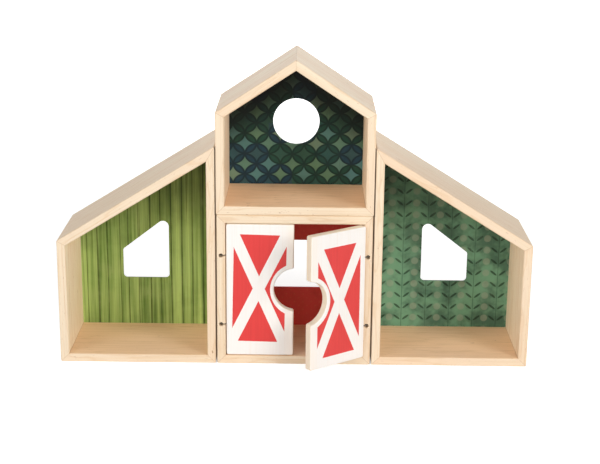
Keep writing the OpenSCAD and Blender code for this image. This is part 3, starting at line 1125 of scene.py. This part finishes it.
class BARN_OT_doors(bpy.types.Operator):
    """Adds the two painted doors, the right one standing open as the joint has it at rest"""
    bl_idname = "barn.doors"
    bl_label = "Doors"

    def execute(self, context):
        sizes = context.scene.barn_doors
        axis = JOINTS["left_leaf"]["pos_m"]
        front, back = low("left_door").y - axis[1], high("left_door").y - axis[1]
        shape = door_outline(-axis[0], "left_door", sizes)
        prints = {"left": (sizes.left_print_height, sizes.left_print_turn),
                  "right": (sizes.right_print_height, 0)}
        for side, (height, turn) in prints.items():
            node = side + "_door"
            finish = door_finish(f"Painted {side} door", context.scene.barn_colours, sizes,
                                 front, height, turn)
            mesh = door_mesh(node + "_leaf", shape, front, back, sizes.edge_radius)
            settle(mesh, leaf_matrix(side))
            add_piece(node + "_leaf", mesh, side + "_leaf", node, [finish])
        return {"FINISHED"}


class BARN_OT_hinges(bpy.types.Operator):
    """Adds the eight bent wires of the hinges: an eye in the door and a staple in the wall"""
    bl_idname = "barn.hinges"
    bl_label = "Hinges"

    def execute(self, context):
        sizes = context.scene.barn_hinges
        radius = sizes.wire / 2
        steel = steel_finish(context.scene.barn_colours)
        start = low("left_door").x - JOINTS["left_leaf"]["pos_m"][0]
        for side in ("left", "right"):
            axis = Vector((*JOINTS[side + "_leaf"]["pos_m"][:2], 0))
            for word, height in zip(("lower", "upper"), hinge_heights()):
                lift = Matrix.Translation((0, 0, height))
                node = f"{side}_{word}_hinge_eye"
                mesh = wire_mesh(node + "_wire", eye_path(sizes, start), radius)
                settle(mesh, leaf_matrix(side) @ lift)
                add_piece(node + "_wire", mesh, side + "_leaf", node, [steel])
                node = f"{side}_{word}_hinge_staple"
                mesh = wire_mesh(node + "_wire", staple_path(sizes), radius)
                settle(mesh, Matrix.Translation(axis) @ lift)
                add_piece(node + "_wire", mesh, "stable", node, [steel])
        return {"FINISHED"}


def staple_path(sizes):
    """A staple round its axis: a leg, the upright pin and the other leg."""
    bend, half = sizes.staple_bend, sizes.staple_half
    upper = arc((bend, half - bend), bend, math.pi / 2, math.pi, 6)
    path = [Vector((0, sizes.staple_leg, half))]
    path += [Vector((0, point.x, point.y)) for point in upper]
    path += [Vector((0, point.x, -point.y)) for point in reversed(upper)]
    path += [Vector((0, sizes.staple_leg, -half))]
    return path


def eye_path(sizes, door_start):
    """An eye round its axis: the shank from inside the door, bent into a nearly closed ring."""
    ring = sizes.wire + sizes.eye_play
    opening = math.radians(42)
    path = [Vector((door_start + sizes.shank, 0, 0)), Vector((door_start, 0, 0))]
    joins = Vector((ring * math.cos(opening), -ring * math.sin(opening), 0))
    towards = Vector((-math.sin(opening), -math.cos(opening), 0))
    bend_start = Vector((2.4 * ring, 0, 0))
    path += geometry.interpolate_bezier(bend_start, bend_start - Vector((0.6 * ring, 0, 0)),
                                        joins - towards * 0.5 * ring, joins, 7)[:-1]
    path += [point.to_3d() for point in
             arc((0, 0), ring, -opening, opening - 2 * math.pi, 28)]
    return path


class BARN_OT_stage(bpy.types.Operator):
    """Adds the pale floor, the soft lamps and the camera at the photograph's angle"""
    bl_idname = "barn.stage"
    bl_label = "Stage"

    def execute(self, context):
        stage = context.scene.barn_stage
        sides = stage.floor_sides
        rim = arc((0, 0), stage.floor_radius, 0, 2 * math.pi, sides)[:-1]
        mesh = bpy.data.meshes.new("floor")
        mesh.from_pydata([point.to_3d() for point in rim], [], [tuple(range(sides))])
        floor = bpy.data.objects.new("floor", mesh)
        mesh.materials.append(floor_finish(stage))
        context.scene.collection.objects.link(floor)
        context.scene.world = soft_world(stage)
        for word, (spot, size) in LAMPS.items():
            add_lamp(word + "_lamp", spot, size, getattr(stage, word + "_power"))
        view = bpy.data.cameras.new("camera")
        view.lens = stage.lens
        view.clip_start = 10 * MM
        camera = bpy.data.objects.new("camera", view)
        camera.location = stage.camera_spot
        camera.rotation_euler = stage.camera_turn
        context.scene.collection.objects.link(camera)
        context.scene.camera = camera
        context.scene.view_settings.view_transform = "Standard"
        return {"FINISHED"}


def add_lamp(name, spot, size, power):
    """A square lamp that faces the barn's middle."""
    data = bpy.data.lights.new(name, "AREA")
    data.shape = "SQUARE"
    data.size = size
    data.energy = power
    lamp = bpy.data.objects.new(name, data)
    lamp.location = spot
    middle = Vector((0, 0, 0.15))
    lamp.rotation_euler = (middle - lamp.location).to_track_quat("-Z", "Y").to_euler()
    bpy.context.scene.collection.objects.link(lamp)


def seen(finish):
    """1 for rays from the camera, a gloss or clear matter, and 0 for the light on the barn."""
    path = finish.add("ShaderNodeLightPath", {}, {})
    seen_by = [Signal(finish, path.outputs[name]) for name in
               ("Is Camera Ray", "Is Glossy Ray", "Is Transmission Ray")]
    return finish.most(finish.most(*seen_by[:2]), seen_by[2])


def floor_finish(stage):
    """Pale matt floor, lifted towards white where the camera sees it, with the shadow kept."""
    finish = Finish("Floor")
    place = finish.add("ShaderNodeTexCoord", {}, {}).outputs["Object"]
    x, y, _ = finish.split(place)
    far = finish.rise(finish.root(x ** 2 + y ** 2), stage.white_from, stage.white_at)
    cloud = finish.noise(finish.stretched(place, 3, 3, 3))
    matt = finish.add("ShaderNodeBsdfDiffuse", {}, {
        "Color": finish.mix(cloud * 0.05, stage.floor_white, stage.floor_cloud)})
    glow = finish.add("ShaderNodeEmission", {}, {
        "Color": finish.mix(far, [stage.floor_glow] * 3, (1, 1, 1)), "Strength": seen(finish)})
    both = finish.add("ShaderNodeAddShader", {}, {0: matt.outputs[0], 1: glow.outputs[0]})
    finish.add("ShaderNodeOutputMaterial", {}, {"Surface": both.outputs[0]})
    return finish.material


def soft_world(stage):
    """An even white world: white where it is seen, softer as light."""
    finish = Finish("World", bpy.data.worlds.new("World"))
    strength = stage.world_light + seen(finish) * (1 - stage.world_light)
    ground = finish.add("ShaderNodeBackground", {}, {"Color": (1, 1, 1, 1), "Strength": strength})
    finish.add("ShaderNodeOutputWorld", {}, {"Surface": ground.outputs[0]})
    return finish.material


class BARN_PT_panel(bpy.types.Panel):
    """Lists the barn's pieces and their sizes and colours"""
    bl_idname = "BARN_PT_panel"
    bl_label = "Toy barn"
    bl_space_type = "VIEW_3D"
    bl_region_type = "UI"
    bl_category = "Toy barn"

    def draw(self, context):
        for operator in OPERATORS:
            self.layout.operator(operator.bl_idname)
        for name, group in GROUPS.items():
            box = self.layout.box()
            box.label(text=name.split("_")[1].capitalize())
            for field in group.__annotations__:
                box.prop(getattr(context.scene, name), field)


GROUPS = {
    "barn_boards": BoardSizes,
    "barn_windows": WindowSizes,
    "barn_doors": DoorSizes,
    "barn_prints": PrintSizes,
    "barn_hinges": HingeSizes,
    "barn_colours": Finishes,
    "barn_stage": StageSizes,
}
OPERATORS = (BARN_OT_stable_boards, BARN_OT_loft_boards, BARN_OT_wing_boards,
             BARN_OT_back_panels, BARN_OT_doors, BARN_OT_hinges, BARN_OT_stage)


def label_fields(group):
    """Shows each property under its field's name, in plain words."""
    for field, made in group.__annotations__.items():
        made.keywords["name"] = field.replace("_", " ").capitalize()


def register():
    for group in GROUPS.values():
        label_fields(group)
    for part in (*GROUPS.values(), *OPERATORS, BARN_PT_panel):
        bpy.utils.register_class(part)
    for name, group in GROUPS.items():
        setattr(bpy.types.Scene, name, PointerProperty(type=group))


def unregister():
    for name in GROUPS:
        delattr(bpy.types.Scene, name)
    for part in (BARN_PT_panel, *reversed(OPERATORS), *reversed(GROUPS.values())):
        bpy.utils.unregister_class(part)


def main():
    register()
    for operator in OPERATORS:
        group, name = operator.bl_idname.split(".")
        getattr(getattr(bpy.ops, group), name)()


if __name__ == "__main__":
    main()
